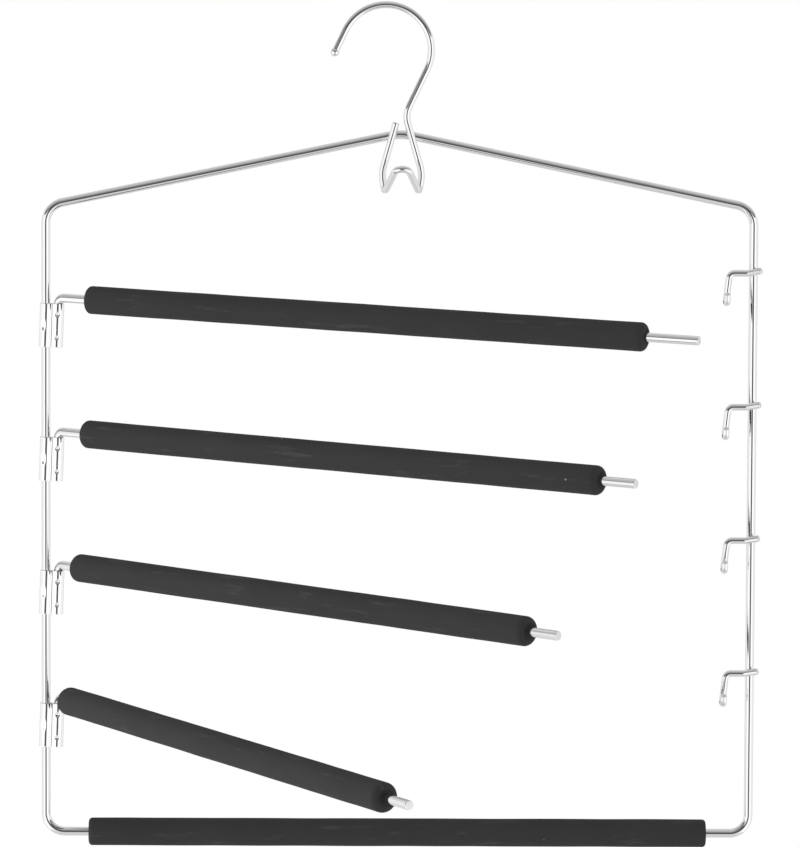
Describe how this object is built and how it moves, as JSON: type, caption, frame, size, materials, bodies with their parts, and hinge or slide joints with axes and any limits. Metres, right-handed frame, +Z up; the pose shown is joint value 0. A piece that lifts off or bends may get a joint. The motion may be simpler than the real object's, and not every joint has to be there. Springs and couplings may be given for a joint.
{
  "type": "multi-tier clothes hanger",
  "caption": "Chrome wire trouser hanger with a rod hook, swing-out arms in black foam grips hinged on one upright, wire catches on the other and a fixed bottom bar.",
  "frame": {"origin": "where the wardrobe rod sits, on the inner crest of the hook", "axes": "+Z up, +X from the hinges towards the catches, +Y towards the back, so the arms swing out towards -Y"},
  "size_m": [0.3985, 0.3311, 0.4678],
  "materials": {
    "chrome_wire": "polished",
    "chrome_sheet": "polished",
    "black_foam": "matte"
  },
  "bodies": {
    "frame": {"frame_wire": "chrome_wire", "hook": "chrome_wire", "bottom_grip": "black_foam", "catch_1": "chrome_wire", "catch_2": "chrome_wire", "catch_3": "chrome_wire", "catch_4": "chrome_wire"},
    "bracket_1": {"hinge_bracket_1": "chrome_sheet"},
    "bracket_2": {"hinge_bracket_2": "chrome_sheet"},
    "bracket_3": {"hinge_bracket_3": "chrome_sheet"},
    "bracket_4": {"hinge_bracket_4": "chrome_sheet"},
    "arm_1": {"arm_wire_1": "chrome_wire", "arm_grip_1": "black_foam"},
    "arm_2": {"arm_wire_2": "chrome_wire", "arm_grip_2": "black_foam"},
    "arm_3": {"arm_wire_3": "chrome_wire", "arm_grip_3": "black_foam"},
    "arm_4": {"arm_wire_4": "chrome_wire", "arm_grip_4": "black_foam"}
  },
  "joints": [
    {"name": "bracket_rock_1", "type": "hinge", "parent": "frame", "child": "bracket_1", "pos_m": [-0.18689, 0.0046, -0.17487], "axis": [0, 1, 0], "range_deg": [-3.55, 0]},
    {"name": "bracket_rock_2", "type": "hinge", "parent": "frame", "child": "bracket_2", "pos_m": [-0.18689, 0.0046, -0.24882], "axis": [0, 1, 0], "range_deg": [-3.55, 0]},
    {"name": "bracket_rock_3", "type": "hinge", "parent": "frame", "child": "bracket_3", "pos_m": [-0.18689, 0.0046, -0.32277], "axis": [0, 1, 0], "range_deg": [-3.55, 0]},
    {"name": "bracket_rock_4", "type": "hinge", "parent": "frame", "child": "bracket_4", "pos_m": [-0.18689, 0.0046, -0.39672], "axis": [0, 1, 0], "range_deg": [-3.55, 0]},
    {"name": "arm_swing_1", "type": "hinge", "parent": "bracket_1", "child": "arm_1", "pos_m": [-0.18004, 0.0046, -0.15984], "axis": [-0.0331, 0, -0.9995], "range_deg": [-22.47, 96.3]},
    {"name": "arm_swing_2", "type": "hinge", "parent": "bracket_2", "child": "arm_2", "pos_m": [-0.18004, 0.0046, -0.23378], "axis": [-0.0331, 0, -0.9995], "range_deg": [-33.77, 85]},
    {"name": "arm_swing_3", "type": "hinge", "parent": "bracket_3", "child": "arm_3", "pos_m": [-0.18004, 0.0046, -0.30774], "axis": [-0.0331, 0, -0.9995], "range_deg": [-43.57, 75.2]},
    {"name": "arm_swing_4", "type": "hinge", "parent": "bracket_4", "child": "arm_4", "pos_m": [-0.18004, 0.0046, -0.38169], "axis": [-0.0331, 0, -0.9995], "range_deg": [-58.07, 60.7]}
  ]
}
